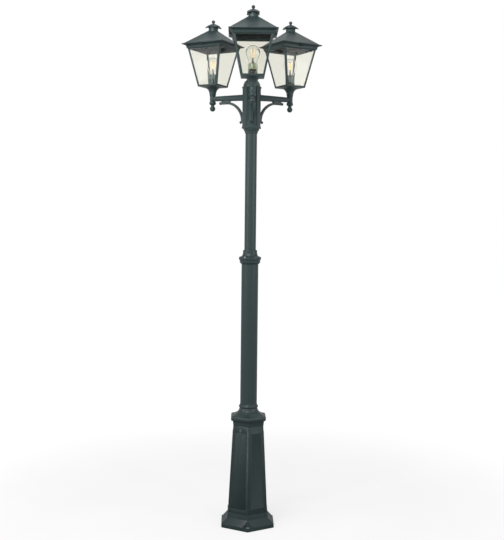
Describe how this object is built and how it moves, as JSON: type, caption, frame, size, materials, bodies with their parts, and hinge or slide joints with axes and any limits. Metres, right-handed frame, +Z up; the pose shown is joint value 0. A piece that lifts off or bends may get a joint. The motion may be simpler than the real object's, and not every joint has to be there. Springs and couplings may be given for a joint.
{
  "type": "triple head lamp post",
  "caption": "Garden lamp post with square glazed lanterns on arms about a hexagonal hub, a stepped round pole and a tapered hexagonal base with an access door.",
  "frame": {"origin": "middle of the base's underside, where the pole's axis meets the ground", "axes": "+Z up along the pole, the front arm points along -Y, the other arms back to the right and left"},
  "size_m": [0.6274, 0.5433, 2.2315],
  "materials": {
    "paint": "satin",
    "window_glass": "gloss",
    "lamp_glass": "gloss",
    "sleeve": "gloss",
    "holder": "matte",
    "lamp_cap": "satin",
    "filament": "satin",
    "steel": "satin",
    "lock": "satin",
    "wiring_box": "matte"
  },
  "bodies": {
    "post": {"arm_front": "paint", "arm_left": "paint", "arm_nuts": "steel", "arm_right": "paint", "base_flange": "paint", "collar_screws": "steel", "corner_bars_front": "paint", "corner_bars_left": "paint", "corner_bars_right": "paint", "cornice_front": "paint", "cornice_left": "paint", "cornice_right": "paint", "drop_finial_front": "paint", "drop_finial_left": "paint", "drop_finial_right": "paint", "glass_panes_front": "window_glass", "glass_panes_left": "window_glass", "glass_panes_right": "window_glass", "hinge_pins": "steel", "holder_sleeve_front": "sleeve", "holder_sleeve_left": "sleeve", "holder_sleeve_right": "sleeve", "hub": "paint", "hub_cap": "paint", "lampholder_front": "holder", "lampholder_left": "holder", "lampholder_right": "holder", "lantern_tray_front": "paint", "lantern_tray_left": "paint", "lantern_tray_right": "paint", "lower_pole": "paint", "mid_collar": "paint", "pedestal": "paint", "pedestal_cap": "paint", "pole_spacer": "paint", "scroll_bracket_front": "paint", "scroll_bracket_left": "paint", "scroll_bracket_right": "paint", "terminal_box": "wiring_box", "upper_pole": "paint"},
    "lid_front": {"roof_front": "paint", "vent_cap_front": "paint", "roof_finial_front": "paint"},
    "lamp_front": {"lamp_cap_front": "lamp_cap", "lamp_globe_front": "lamp_glass", "lamp_filament_front": "filament"},
    "lid_right": {"roof_right": "paint", "vent_cap_right": "paint", "roof_finial_right": "paint"},
    "lamp_right": {"lamp_cap_right": "lamp_cap", "lamp_globe_right": "lamp_glass", "lamp_filament_right": "filament"},
    "lid_left": {"roof_left": "paint", "vent_cap_left": "paint", "roof_finial_left": "paint"},
    "lamp_left": {"lamp_cap_left": "lamp_cap", "lamp_globe_left": "lamp_glass", "lamp_filament_left": "filament"},
    "door": {"access_door": "paint"},
    "lock": {"door_lock": "lock"}
  },
  "joints": [
    {"name": "lid_hinge_front", "type": "hinge", "parent": "post", "child": "lid_front", "pos_m": [0.0944, -0.2005, 2.1117], "axis": [0, 1, 0], "range_deg": [0, 100]},
    {"name": "lamp_thread_front", "type": "hinge", "parent": "post", "child": "lamp_front", "pos_m": [0, -0.2005, 1.9573], "axis": [0, 0, 1], "range_deg": [0, 1080]},
    {"name": "lid_hinge_right", "type": "hinge", "parent": "post", "child": "lid_right", "pos_m": [0.12644, 0.182, 2.1117], "axis": [-0.866, -0.5, 0], "range_deg": [0, 100]},
    {"name": "lamp_thread_right", "type": "hinge", "parent": "post", "child": "lamp_right", "pos_m": [0.17364, 0.10025, 1.9573], "axis": [0, 0, 1], "range_deg": [0, 1080]},
    {"name": "lid_hinge_left", "type": "hinge", "parent": "post", "child": "lid_left", "pos_m": [-0.22084, 0.0185, 2.1117], "axis": [0.866, -0.5, 0], "range_deg": [0, 100]},
    {"name": "lamp_thread_left", "type": "hinge", "parent": "post", "child": "lamp_left", "pos_m": [-0.17364, 0.10025, 1.9573], "axis": [0, 0, 1], "range_deg": [0, 1080]},
    {"name": "door_pivot", "type": "hinge", "parent": "post", "child": "door", "pos_m": [-0.0402, -0.06963, 0.08435], "axis": [0.866, -0.5, 0], "range_deg": [0, 40]},
    {"name": "lock_turn", "type": "hinge", "parent": "door", "child": "lock", "pos_m": [-0.03314, -0.0574, 0.42056], "axis": [-0.4994, -0.865, 0.0494], "range_deg": [0, 90]}
  ]
}
